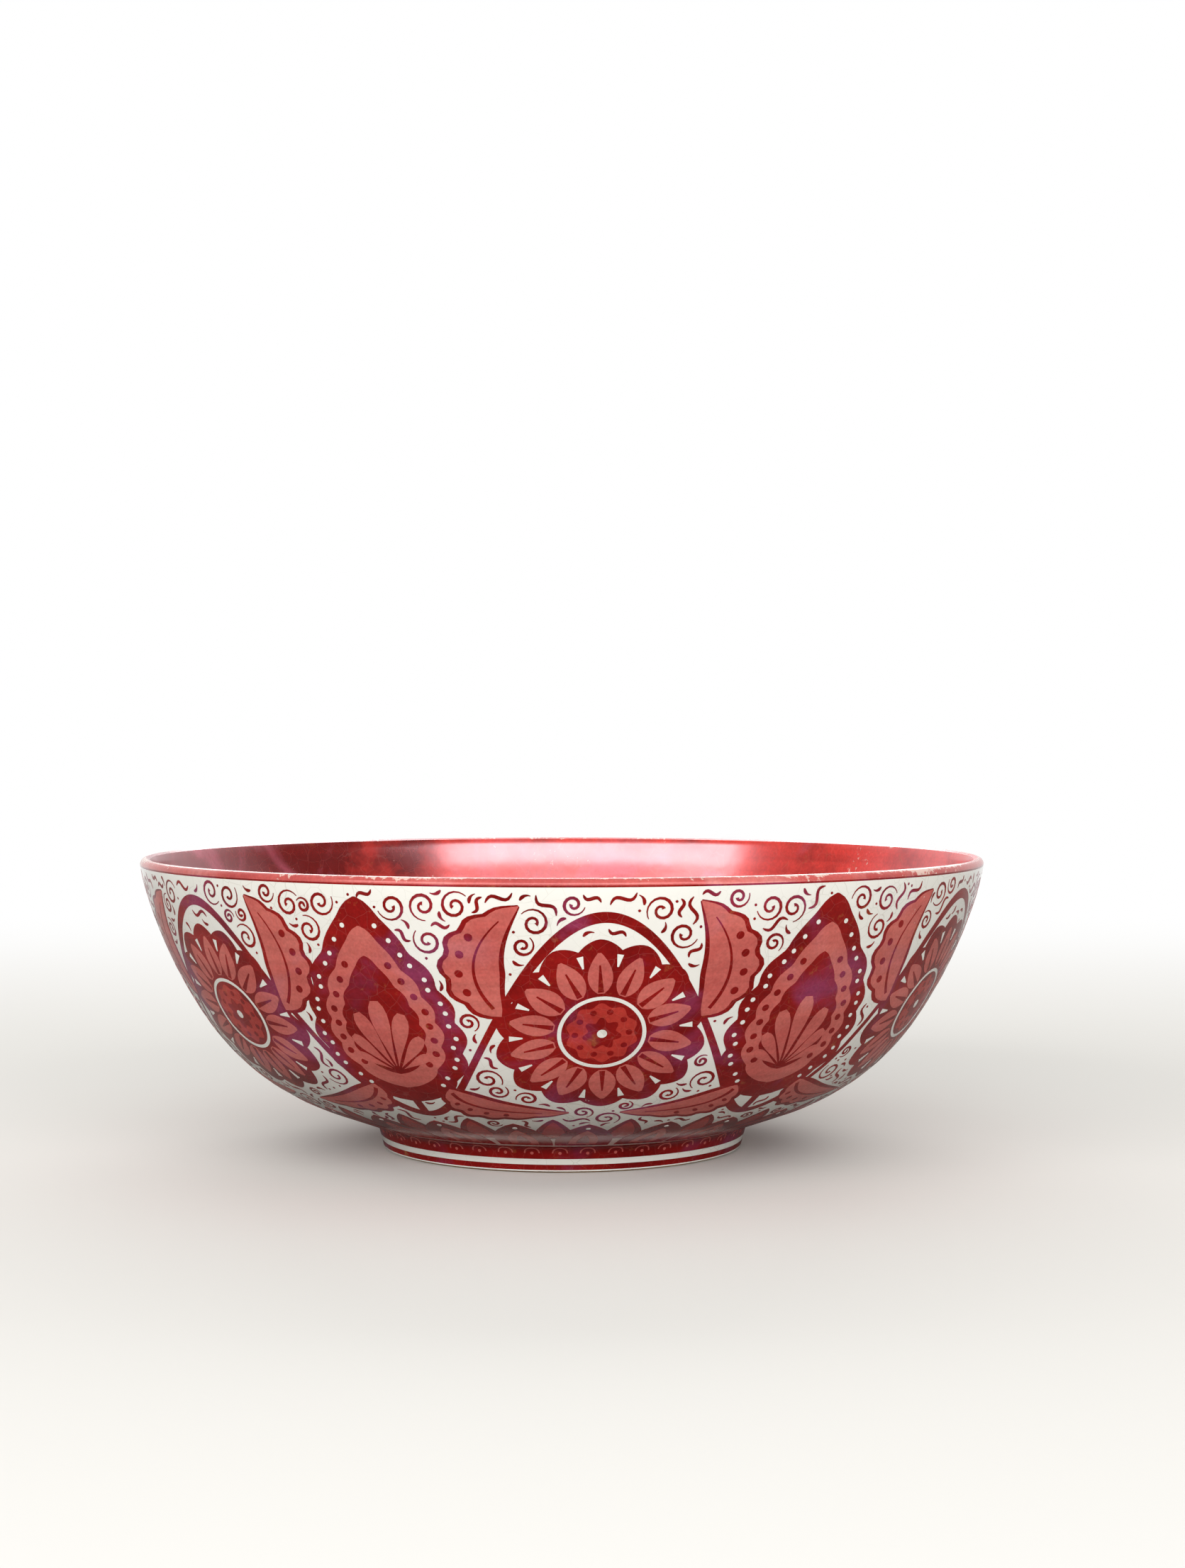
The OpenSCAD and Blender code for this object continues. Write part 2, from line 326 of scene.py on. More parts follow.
def tube(loop, wrap):
    """Closed skin of a loop of points carried along a path, rows along the path and columns round the loop.
    The path closes on itself where wrap is true, and otherwise has a row of faces at each end."""
    rows, columns = loop.shape[:2]
    index = np.arange(rows * columns).reshape(rows, columns)
    here, ahead = (index, np.roll(index, -1, axis=0)) if wrap else (index[:-1], index[1:])
    quads = np.stack([here, ahead, np.roll(ahead, -1, axis=1), np.roll(here, -1, axis=1)], axis=-1)
    quads = quads.reshape(-1, 4)
    if not wrap:
        half = np.arange(columns // 2 - 1)
        start = np.stack([half, half + 1, columns - 2 - half, columns - 1 - half], axis=1)
        end = start[:, ::-1] + (rows - 1) * columns
        quads = np.concatenate([quads, start, end])
    return loop.reshape(-1, 3), quads, no_triangles


def wall_ring(top_s, end_s, depth, count, turns):
    """Ring of coat between two lengths down the wall: up its face, then down again at its depth."""
    face_s = np.linspace(end_s, top_s, count)
    back_s = np.linspace(top_s, end_s, max(count // 4, 6))
    theta = np.linspace(0.0, 2 * np.pi, turns, endpoint=False)[:, None]
    face = on_wall(theta, face_s[None, :], 0.0)
    back = on_wall(theta, back_s[None, :], -depth)
    return tube(np.concatenate([face, back], axis=1), True)


def s_at_height(z):
    """Length down the wall from the crown at a height."""
    return np.interp(-z, -wall_z, wall_s)


rim_band_s = s_at_height(rim_band_z)
widest = np.argmax(wall_r)
upper_band_r = foot_corner[0] + upper_band_run
upper_band_s = np.interp(-upper_band_r, -wall_r[widest:], wall_s[widest:])
cream_line_s = s_at_height(cream_line_z)
lower_band_s = s_at_height(lower_band_z)
cream_edge_s = s_at_height(cream_edge_z)
crackle_size, sway_size, sway_reach, patch_size, peel_size = 0.0062, 0.012, 0.004, 0.045, 0.005


def crackle_lines(tree, place, line_edge, strength):
    """Crackle in a fired coat: the edges of cells about 6 mm across, whose places sway with a noise. The
    lines fade out at a share of a cell from the edge, about 0.2 mm wide in all, which is somewhat coarser
    than they are, so that they show."""
    sway = add(tree, "TexNoise", {"Vector": place, "Scale": 1 / sway_size, "Detail": 2.0})
    swayed = add(tree, "VectorMath", {
        0: sway.outputs["Color"], 1: (sway_reach, sway_reach, sway_reach), 2: place,
    }, operation="MULTIPLY_ADD")
    cells = add(tree, "TexVoronoi", {
        "Vector": swayed.outputs[0], "Scale": 1 / crackle_size,
    }, feature="DISTANCE_TO_EDGE")
    lines = add(tree, "MapRange", {
        "Value": cells.outputs["Distance"], "From Min": 0.006, "From Max": line_edge,
        "To Min": strength, "To Max": 0.0,
    })
    return lines.outputs["Result"]


def fired_skin(tree, place):
    """Normal of a fired glossy coat, which is very slightly uneven, like peel, at about 5 mm."""
    peel = add(tree, "TexNoise", {"Vector": place, "Scale": 1 / peel_size, "Detail": 1.0})
    surface = add(tree, "Bump", {"Height": peel.outputs["Fac"], "Strength": 0.08, "Distance": 0.0004})
    return surface.outputs["Normal"]


# Tin glaze: cream and glossy, a little uneven in tone and skin, with brown crackle that comes and goes
glaze_material, tree, output = blank("cream_tin_glaze")
place = add(tree, "TexCoord").outputs["Object"]
patch = add(tree, "TexNoise", {"Vector": place, "Scale": 1 / patch_size, "Detail": 3.0})
strength = add(tree, "MapRange", {
    "Value": patch.outputs["Fac"], "From Min": 0.35, "From Max": 0.65, "To Max": 0.32,
})
crackle = add(tree, "Math", {
    0: crackle_lines(tree, place, line_edge=0.022, strength=1.0), 1: strength.outputs["Result"],
}, operation="MULTIPLY")
tint = add(tree, "Mix", {
    0: patch.outputs["Fac"], 6: linear("#f1efe8"), 7: linear("#e7e4d9"),
}, data_type="RGBA")
lined = add(tree, "Mix", {
    0: crackle.outputs[0], 6: tint.outputs[2], 7: linear("#8f8266"),
}, data_type="RGBA")
shader = add(tree, "BsdfPrincipled", {
    "Base Color": lined.outputs[2], "Normal": fired_skin(tree, place), "Roughness": 0.14, "IOR": 1.5,
})
tree.links.new(shader.outputs[0], output.inputs["Surface"])

outer_glaze = shaped("outer_tin_glaze", [
    wall_ring(rim_band_s, upper_band_s, coat_t, 130, 480),
    wall_ring(cream_line_s, lower_band_s, coat_t, 8, 240),
    wall_ring(cream_edge_s, glaze_end_s, coat_t, 6, 240),
])
outer_glaze.data.materials.append(glaze_material)
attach(outer_glaze, "root")
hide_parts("outer_glaze")
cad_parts["inner_glaze"].data.materials.clear()
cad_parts["inner_glaze"].data.materials.append(glaze_material)


# Tin glaze in the recess
# The same cream glaze, poured into the shallow recess inside the foot ring, with a soft hollow corner
# where the slip was wiped round.
recess_h = 8.0
foot_w = 9.0
foot_inner_lean = np.radians(10.0)
recess_fillet_r = 4.0


def turned_skin(profile):
    """Closed skin of a profile that is turned about the axis, from one point on the axis to another."""
    theta = np.linspace(0.0, 2 * np.pi, 240, endpoint=False)[None, :]
    radius, height = profile[1:-1, 0][:, None], profile[1:-1, 1][:, None]
    turned = np.stack([radius * np.sin(theta), -radius * np.cos(theta), height + 0.0 * theta], axis=-1)
    poles = [[0.0, 0.0, profile[0, 1]], [0.0, 0.0, profile[-1, 1]]]
    return polar(turned, *poles)


def polar(rings, first_pole, last_pole):
    """Closed skin of rings of points between two poles, facing the side on which the rings run
    anticlockwise at the first pole."""
    count, around = rings.shape[:2]
    index = np.arange(count * around).reshape(count, around)
    after = np.roll(index, -1, axis=1)
    quads = np.stack([index[:-1], index[1:], after[1:], after[:-1]], axis=-1).reshape(-1, 4)
    first, last = count * around, count * around + 1
    opening = np.stack([np.full(around, first), index[0], after[0]], axis=1)
    closing = np.stack([np.full(around, last), after[-1], index[-1]], axis=1)
    vertices = np.concatenate([rings.reshape(-1, 3), [first_pole, last_pole]])
    return vertices, quads, np.concatenate([opening, closing])


def recess_profile(depth):
    """Ceiling, hollow corner and side of the recess, set back by a depth, from the axis out and down."""
    inner_r = foot_r - foot_w + depth / np.cos(foot_inner_lean)
    corner_z = recess_h - recess_fillet_r
    edge_r = foot_r - foot_w - recess_fillet_r / np.cos(foot_inner_lean)
    corner_c = np.array([edge_r - corner_z * np.tan(foot_inner_lean), corner_z])
    turn = np.linspace(np.pi / 2, foot_inner_lean, 14)[:, None]
    corner = corner_c + (recess_fillet_r + depth) * np.concatenate([np.cos(turn), np.sin(turn)], axis=1)
    ceiling_r = np.linspace(0.0, corner[0, 0], 24)[:-1]
    ceiling = np.stack([ceiling_r, np.full(23, corner[0, 1])], axis=1)
    foot = np.array([[inner_r - glaze_line_z * np.tan(foot_inner_lean), glaze_line_z]])
    return np.concatenate([ceiling, corner, foot])


hidden_side = recess_profile(coat_t)
seen_side = recess_profile(0.0)
base_glaze = shaped("recess_tin_glaze", [turned_skin(np.concatenate([hidden_side, seen_side[::-1]]))])
base_glaze.data.materials.append(glaze_material)
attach(base_glaze, "root")
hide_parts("base_glaze")


# Lustre lining
# Ruby copper lustre laid all over the hollow and fired in smoke. It is glossy, cloudy from the kiln,
# streaked by the banding brush and worn in flecks.
floor_z = 17.0
hollow_knee, hollow_floor = np.radians([28.0, 81.0])
lip_t = 2 * lip_r
hollow_shoulder = shoulder - lip_t * outward(shoulder_lean)
knee = hollow_shoulder + (wall_radii[0] - lip_t) * (outward(hollow_knee) - outward(shoulder_lean))
hollow_radii = two_radii([hollow_knee, hollow_floor, np.pi / 2], np.array([0.0, floor_z]) - knee)
hollow_s, hollow_r, hollow_z, hollow_lean = curve(crown, np.pi / 2, [
    (-lip_r, rim_lean), (rim_arc_r - lip_t, shoulder_lean), (wall_radii[0] - lip_t, hollow_knee),
    (hollow_radii[0], hollow_floor), (hollow_radii[1], np.pi / 2),
])
hollow_ripple_depth, hollow_ripple_step, hollow_ripple_start = 0.06, 13.0, 10.0


def in_hollow(theta, along, lift):
    """Point of the hollow at an angle and a length from the crown, lifted into the hollow. Shallow
    throwing rings ripple it below the rim."""
    lean = np.interp(along, hollow_s, hollow_lean)
    ripple = hollow_ripple_depth * np.sin(2 * np.pi * along / hollow_ripple_step + 1.5 * np.sin(theta + 1.0))
    out = -lift - ripple * np.clip((along - hollow_ripple_start) / ripple_fade, 0.0, 1.0)
    radius = (np.interp(along, hollow_s, hollow_r) + out * np.cos(lean)) * roundness(theta)
    height = np.interp(along, hollow_s, hollow_z) - out * np.sin(lean)
    return np.stack([radius * np.sin(theta), -radius * np.cos(theta), height], axis=-1)


cloud_size, painted_sheen_size, smoke_size, grain_size = 0.028, 0.034, 0.0075, 0.0011
brush_size, brush_drift, fleck_size, wear_size = 0.004, 0.02, 0.0026, 0.040
# Where the painted shade on the left of the hollow is full, and where the painted light on the right begins
painted_shade_side_x, painted_light_side_x = -0.125, -0.04
# Where the extra pale flecks on the crown begin, and how many: wear, and partly a painted highlight
crown_from_z, crown_wear_and_highlight = 0.1236, 0.2


def lustre(name, *, body, shade, painted_sheen, painted_sheen_share, blotch_share, wear_share, roughness, mirror, ior,
           lean=0.0):
    """Copper lustre on tin glaze: a red of two depths in clouds, violet patches that are a painted iridescent
    sheen, brown blotches of smoke, a fine grain, rings from the banding brush, pale crackle, and worn flecks
    that show the cream glaze, more of them along the crown of the lip, where they are partly a painted
    highlight. Its metal tints what it mirrors. Where lean is given, the clouds lean by that share towards
    the deeper red on the left, as painted shade, and by half of it towards the brighter red on the right,
    as painted light."""
    material, tree, output = blank(name)
    place = add(tree, "TexCoord").outputs["Object"]
    sides = add(tree, "SeparateXYZ", {0: place})
    cloud = add(tree, "TexNoise", {"Vector": place, "Scale": 1 / cloud_size, "Detail": 4.0, "Roughness": 0.6})
    # Painted shade on the left and painted light on the right: the clouds shift towards the deeper red where
    # X is low and towards the brighter red where it is high
    side_shade_and_light = add(tree, "MapRange", {
        "Value": sides.outputs["X"], "From Min": painted_shade_side_x, "From Max": painted_light_side_x,
        "To Min": lean, "To Max": -0.5 * lean,
    })
    cloud_and_side_shade = add(tree, "Math", {0: cloud.outputs["Fac"], 1: side_shade_and_light.outputs["Result"]}, operation="ADD")
    depth = add(tree, "MapRange", {"Value": cloud_and_side_shade.outputs[0], "From Min": 0.35, "From Max": 0.68})
    colour = add(tree, "Mix", {
        0: depth.outputs["Result"], 6: linear(body), 7: linear(shade),
    }, data_type="RGBA")
    # Patches of painted iridescent sheen, in each lustre's own sheen colour
    painted_sheen_patches = add(tree, "TexNoise", {"Vector": place, "Scale": 1 / painted_sheen_size, "Detail": 5.0, "Distortion": 0.6})
    painted_sheen_mask = add(tree, "MapRange", {
        "Value": painted_sheen_patches.outputs["Fac"], "From Min": 0.51, "From Max": 0.70, "To Max": painted_sheen_share,
    }, interpolation_type="SMOOTHSTEP")
    colour = add(tree, "Mix", {
        0: painted_sheen_mask.outputs["Result"], 6: colour.outputs[2], 7: linear(painted_sheen),
    }, data_type="RGBA")
    smoke = add(tree, "TexNoise", {"Vector": place, "Scale": 1 / smoke_size, "Detail": 6.0, "Roughness": 0.7})
    blotched = add(tree, "MapRange", {
        "Value": smoke.outputs["Fac"], "From Min": 0.60, "From Max": 0.72, "To Max": blotch_share,
    })
    colour = add(tree, "Mix", {
        0: blotched.outputs["Result"], 6: colour.outputs[2], 7: linear("#a05a34"),
    }, data_type="RGBA")
    grain = add(tree, "TexNoise", {"Vector": place, "Scale": 1 / grain_size, "Detail": 3.0})
    level = add(tree, "VectorMath", {0: place, 1: (1.0, 1.0, 0.0)}, operation="MULTIPLY")
    radius = add(tree, "VectorMath", {0: level.outputs[0]}, operation="LENGTH")
    ring = add(tree, "CombineXYZ", {"X": radius.outputs["Value"], "Y": sides.outputs["Z"]})
    drifted = add(tree, "VectorMath", {
        0: place, 1: (brush_drift, brush_drift, brush_drift), 2: ring.outputs[0],
    }, operation="MULTIPLY_ADD")
    banded = add(tree, "TexNoise", {"Vector": drifted.outputs[0], "Scale": 1 / brush_size, "Detail": 3.0})
    streaked = add(tree, "Math", {0: grain.outputs["Fac"], 1: banded.outputs["Fac"]}, operation="ADD")
    shaded = add(tree, "MapRange", {
        "Value": streaked.outputs[0], "From Min": 0.7, "From Max": 1.3, "To Min": 0.82, "To Max": 1.16,
    })
    colour = add(tree, "HueSaturation", {"Color": colour.outputs[2], "Value": shaded.outputs["Result"]})
    colour = add(tree, "Mix", {
        0: crackle_lines(tree, place, line_edge=0.020, strength=0.09),
        6: colour.outputs[0], 7: linear("#c98f86"),
    }, data_type="RGBA")
    fleck = add(tree, "TexNoise", {
        "Vector": place, "Scale": 1 / fleck_size, "Detail": 4.0, "Roughness": 0.65,
    })
    area = add(tree, "TexNoise", {"Vector": place, "Scale": 1 / wear_size, "Detail": 2.0})
    together = add(tree, "Math", {0: fleck.outputs["Fac"], 1: area.outputs["Fac"]}, operation="ADD")
    # More pale flecks along the crown of the lip: wear, and partly a painted highlight there
    crown_rub_and_highlight = add(tree, "MapRange", {
        "Value": sides.outputs["Z"], "From Min": crown_from_z, "From Max": bowl_h * millimetre,
        "To Max": crown_wear_and_highlight,
    })
    together = add(tree, "Math", {0: together.outputs[0], 1: crown_rub_and_highlight.outputs["Result"]}, operation="ADD")
    worn_from = 1.46 - 0.3 * wear_share
    worn = add(tree, "MapRange", {
        "Value": together.outputs[0], "From Min": worn_from, "From Max": worn_from + 0.08, "To Max": 0.8,
    })
    colour = add(tree, "Mix", {
        0: worn.outputs["Result"], 6: colour.outputs[2], 7: linear("#e6cfc0"),
    }, data_type="RGBA")
    gloss = add(tree, "MapRange", {
        "Value": cloud.outputs["Fac"], "From Min": 0.3, "From Max": 0.7,
        "To Min": roughness, "To Max": roughness + 0.08,
    })
    shader = add(tree, "BsdfPrincipled", {
        "Base Color": colour.outputs[2], "Normal": fired_skin(tree, place),
        "Roughness": gloss.outputs["Result"], "IOR": ior, "Specular Tint": linear(mirror),
    })
    tree.links.new(shader.outputs[0], output.inputs["Surface"])
    return material


# Ruby copper lustre: clouded, with a strong pink mirror, deeper red on the left as painted shade and brighter
# on the right as painted light
lining_material = lustre(
    "ruby_lustre_lining", body="#e2443a", shade="#74150f", painted_sheen="#d06a80", painted_sheen_share=0.5,
    blotch_share=0.35, wear_share=0.55, roughness=0.18, mirror="#ffd0d8", ior=2.7, lean=0.3,
)
theta = np.linspace(0.0, 2 * np.pi, 480, endpoint=False)[None, :]
seen_s = np.linspace(hollow_s[-1], 0.0, 130)[1:, None]
hidden_s = np.linspace(0.0, hollow_s[-1], 24)[:-1, None]
lining_rings = np.concatenate([in_hollow(theta, seen_s, 0.0), in_hollow(theta, hidden_s, -lustre_t)])
lining = shaped("ruby_lustre_lining", [
    polar(lining_rings, [0.0, 0.0, floor_z], [0.0, 0.0, floor_z - lustre_t]),
])
lining.data.materials.append(lining_material)
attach(lining, "root")
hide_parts("lustre_lining")


# Rim band
# A narrow band of thinner red lustre over the lip, banded on the wheel and worn through to the cream
# where hands and cloths have rubbed it. A dark line edges it below.
rim_line_w, rim_line_depth = 0.7, 0.2

# Thin red lustre: rose where the cream shines through it, and worn in pale flecks
rim_material = lustre(
    "worn_rim_lustre", body="#c9605a", shade="#b44a48", painted_sheen="#d99a92", painted_sheen_share=0.5,
    blotch_share=0.15, wear_share=0.95, roughness=0.16, mirror="#ffd4d2", ior=1.6,
)
rim_band = shaped("rim_lustre_band", [wall_ring(0.0, rim_band_s, lustre_t, 16, 480)])
rim_band.data.materials.append(rim_material)
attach(rim_band, "root")

# Ruby lustre paint: dark red with brown patches and violet patches of painted iridescent sheen, glossy, and
# hardly worn
ruby_material = lustre(
    "ruby_lustre_paint", body="#921815", shade="#700e0c", painted_sheen="#8c3c60", painted_sheen_share=0.75,
    blotch_share=0.7, wear_share=0.0, roughness=0.12, mirror="#ff8c90", ior=1.45,
)
rim_line = shaped("rim_edge_line", [wall_ring(rim_band_s, rim_band_s + rim_line_w, rim_line_depth, 4, 480)])
rim_line.data.materials.append(ruby_material)
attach(rim_line, "root")


# Foot bands
# Two bands of ruby lustre on the foot, drawn on the wheel: a broad one from the cream line up through
# the joint, and a narrow one above the cream edge.
for node_name, piece_name, top_s, end_s in (
    ("upper_foot_band", "upper_foot_lustre", upper_band_s, cream_line_s),
    ("lower_foot_band", "lower_foot_lustre", lower_band_s, cream_edge_s),
):
    band = shaped(piece_name, [wall_ring(top_s, end_s, lustre_t, 24, 240)])
    band.data.materials.append(ruby_material)
    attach(band, "root")
    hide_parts(node_name)


# Painted vine
# A brushed ruby stem that runs round the wall in six even waves and carries the flowers and leaves.
# All painting is a thin film of lustre on the glaze, each later colour a little above the one before.
bays = 6
bay_turn = 2 * np.pi / bays
first_flower = np.radians(6.0)
vine_s = 64.5
vine_swing = 50.0
vine_half = 1.8
under_lift, first_lift, second_lift, third_lift, fourth_lift = 0.025, 0.05, 0.09, 0.13, 0.17
film_under = 0.12
painted = []


def painted_piece(name, parts, material):
    """Finish a piece of painting from its films, which also go on the list of what is painted."""
    piece = shaped(name, parts)
    piece.data.materials.append(material)
    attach(piece, "root")
    painted.extend(vertices for vertices, quads, triangles in parts)


theta = np.linspace(0.0, 2 * np.pi, 1200, endpoint=False)
wave = vine_s - vine_swing * np.cos(bays * (theta - first_flower))
wave = wave + 1.2 * np.sin(3 * theta + 0.5) + 0.8 * np.sin(11 * theta)
radius = np.interp(wave, wall_s, wall_r)
ahead = (np.roll(wave, -1) - np.roll(wave, 1)) / (2 * (theta[1] - theta[0]))
length = np.hypot(radius, ahead)
half = vine_half + 0.4 * np.sin(12 * theta + 0.8)
side = np.array([-1.0, 0.0, 1.0])[None, :] * half[:, None]
vine_theta = theta[:, None] + side * (ahead / length / radius)[:, None]
vine_along = wave[:, None] - side * (radius / length)[:, None]
face = on_wall(vine_theta, vine_along, under_lift)
under = on_wall(vine_theta, vine_along, -film_under)[:, ::-1]
vine_film = tube(np.concatenate([face, under], axis=1), True)
painted_piece("painted_vine", [vine_film], ruby_material)


# Painted flowers
# A large round flower of fourteen petals under each crest of the vine: a ruby ground, rose petals with dark
# ribs, a cream ring and drops left bare, and a lobed heart of a deeper red.
flower_s = 64.0
flower_tip_r = 40.5
flower_cusp_r = 36.5
petals = 14
petal_start_r, petal_end_r, petal_w = 18.0, 35.0, 5.0
rib_start_r, rib_end_r = 18.5, 30.0
drop_start_r, drop_end_r = 34.6, 29.5
ring_inner_r, ring_outer_r = 15.2, 16.7
heart_r, star_r, eye_r, dot_r, dot_ring_r = 12.9, 6.4, 1.9, 1.25, 10.1
heart_dots = 10

# Rose lustre paint: thin, so that the cream glaze shines through it
rose_material = lustre(
    "rose_lustre_paint", body="#ca6b61", shade="#bb5750", painted_sheen="#c47a80", painted_sheen_share=0.4,
    blotch_share=0.15, wear_share=0.1, roughness=0.14, mirror="#ffb8b4", ior=1.45,
)
# Red lustre paint: between ruby and rose in depth
red_material = lustre(
    "red_lustre_paint", body="#b83a30", shade="#a42e28", painted_sheen="#b0506a", painted_sheen_share=0.5,
    blotch_share=0.35, wear_share=0.05, roughness=0.13, mirror="#ffa49c", ior=1.45,
)

# The wobble of the painter's hand, always the same
rng = np.random.default_rng(11)


def stroke(path, left, right, across):
    """Flat brush stroke: rows along a path, columns from its right edge to its left, each side as wide
    as given at that point."""
    step = np.gradient(path, axis=0)
    normal = np.stack([-step[:, 1], step[:, 0]], axis=1) / np.linalg.norm(step, axis=1)[:, None]
    left, right = np.broadcast_to(left, len(path)), np.broadcast_to(right, len(path))
    offset = -right[:, None] + (left + right)[:, None] * np.linspace(0.0, 1.0, across)
    return path[:, None, :] + offset[:, :, None] * normal[:, None, :]


def laid(flat, theta, along, turn):
    """Angle and length down the wall of a flat drawing: it is turned, then x goes round and y goes up."""
    x = np.cos(turn) * flat[..., 0] - np.sin(turn) * flat[..., 1]
    y = np.sin(turn) * flat[..., 0] + np.cos(turn) * flat[..., 1]
    radius = np.interp(along - y, wall_s, wall_r)
    return theta + x / radius, along - y


def stroke_film(flat, theta, along, turn, lift):
    """Closed film of a flat stroke on the wall, its face lifted and its back sunk in the glaze."""
    place = laid(flat, theta, along, turn)
    face = on_wall(*place, lift)
    under = on_wall(*place, -film_under)[:, ::-1]
    return tube(np.concatenate([face, under], axis=1), False)


def blot_film(outline, rings, theta, along, turn, lift):
    """Closed film of a flat outline on the wall: rings shrink from the outline to its middle, and the
    back closes on a point in the glaze."""
    middle = outline.mean(axis=0)
    share = np.linspace(0.0, 1.0, rings + 1)[1:, None, None]
    flat = middle + share * (outline - middle)
    face = on_wall(*laid(flat, theta, along, turn), lift)
    under = on_wall(*laid(outline[None], theta, along, turn), -film_under)
    pole = laid(middle, theta, along, turn)
    return polar(np.concatenate([face, under]), on_wall(*pole, lift), on_wall(*pole, -film_under))


def lobed(radius, swell, lobes, count):
    """Outline round a middle whose radius swells by a cosine the given number of times."""
    angle = np.linspace(0.0, 2 * np.pi, count, endpoint=False)
    reach = radius + swell * np.cos(lobes * angle)
    return np.stack([reach * np.sin(angle), reach * np.cos(angle)], axis=1)[::-1]


def spoke(angle, start, end, count):
    """Straight path outwards from the middle of a flower, at an angle from upright."""
    reach = np.linspace(start, end, count)[:, None]
    return reach * np.array([np.sin(angle), np.cos(angle)])


def almond(count, power):
    """Half width of a petal along its length, as a share: a sine that peaks early where power is under 1."""
    along = np.linspace(0.03, 0.97, count)
    return np.sin(np.pi * along ** power)


angle = np.linspace(0.0, 2 * np.pi, 12 * petals, endpoint=False)
within = (angle * petals / (2 * np.pi) + 0.5) % 1.0 * 2.0 - 1.0
reach = flower_cusp_r + (flower_tip_r - flower_cusp_r) * (1.0 - np.abs(within) ** 1.7)
flower_outline = np.stack([reach * np.sin(angle), reach * np.cos(angle)], axis=1)[::-1]
grounds, rose_parts, red_parts, dark_parts, cream_parts = [], [], [], [], []
for bay in range(bays):
    theta = first_flower + bay * bay_turn + rng.normal(0.0, 0.006)
    along = flower_s + rng.normal(0.0, 0.8)
    turn = rng.normal(0.0, 0.05)
    grounds.append(blot_film(flower_outline, 9, theta, along, turn, first_lift))
    for petal in range(petals):
        tilt = petal * 2 * np.pi / petals + rng.normal(0.0, 0.02)
        between = tilt + np.pi / petals
        width = petal_w * almond(12, 0.8) ** 0.8 * rng.uniform(0.92, 1.06)
        flat = stroke(spoke(tilt, petal_start_r, petal_end_r, 12), width, width, 4)
        rose_parts.append(stroke_film(flat, theta, along, turn, second_lift))
        rib = np.linspace(1.1, 0.3, 6)
        flat = stroke(spoke(tilt, rib_start_r, rib_end_r, 6), rib, rib, 2)
        dark_parts.append(stroke_film(flat, theta, along, turn, third_lift))
        drop = np.linspace(1.25, 0.3, 6)
        flat = stroke(spoke(between, drop_start_r, drop_end_r, 6), drop, drop, 2)
        cream_parts.append(stroke_film(flat, theta, along, turn, second_lift))
    ring_angle = np.linspace(0.0, 2 * np.pi, 72, endpoint=False)
    ring_edge = np.array([ring_inner_r, ring_outer_r])[None, :, None]
    ring = ring_edge * np.stack([np.cos(ring_angle), np.sin(ring_angle)], axis=1)[:, None, :]
    place = laid(ring[:, ::-1], theta, along, turn)
    ring_loop = np.concatenate([on_wall(*place, second_lift), on_wall(*place, -film_under)[:, ::-1]], axis=1)
    cream_parts.append(tube(ring_loop, True))
    red_parts.append(blot_film(lobed(heart_r, 0.9, 10, 80), 5, theta, along, turn, second_lift))
    dark_parts.append(blot_film(lobed(star_r, 1.1, 7, 56), 3, theta, along, turn, third_lift))
    cream_parts.append(blot_film(lobed(eye_r, 0.0, 1, 16), 1, theta, along, turn, fourth_lift))
    for dot in range(heart_dots):
        dot_angle = (dot + 0.5) * 2 * np.pi / heart_dots
        middle = dot_ring_r * np.array([np.sin(dot_angle), np.cos(dot_angle)])
        dark_parts.append(blot_film(lobed(dot_r, 0.0, 1, 12) + middle, 1, theta, along, turn, third_lift))
painted_piece("flower_grounds", grounds, ruby_material)
painted_piece("flower_petals", rose_parts, rose_material)
painted_piece("flower_hearts", red_parts, red_material)
painted_piece("flower_ribs", dark_parts, ruby_material)
painted_piece("flower_reserves", cream_parts, glaze_material)


# Painted palmettes
# A tall fan palmette in each trough of the vine: a ruby leaf form with a lobed edge and a row of bare
# pearls, a rose leaf in it with dark spots, and a rose fan on a dark heart.
palm_s = 57.0
palm_h = 96.0
palm_w = 33.0
rise = np.linspace(0.0, 1.0, 60)
taper = np.clip((rise - 0.72) / 0.28, 0.0, 1.0)
palm_half = palm_w * np.sin(np.pi * rise ** 0.85) ** 0.7 * (1.06 - 0.22 * rise)
palm_half = palm_half * (1.0 - 0.35 * taper * (1.0 - taper))
palm_half = palm_half * (0.93 + 0.09 * np.abs(np.sin(6.5 * np.pi * rise))) + 0.5
palm_path = np.stack([0.0 * rise, (rise - 0.5) * palm_h], axis=1)
palm_form = stroke(palm_path, palm_half, palm_half, 15)
grounds, rose_parts, hearts, fans, spots, pearls = [], [], [], [], [], []
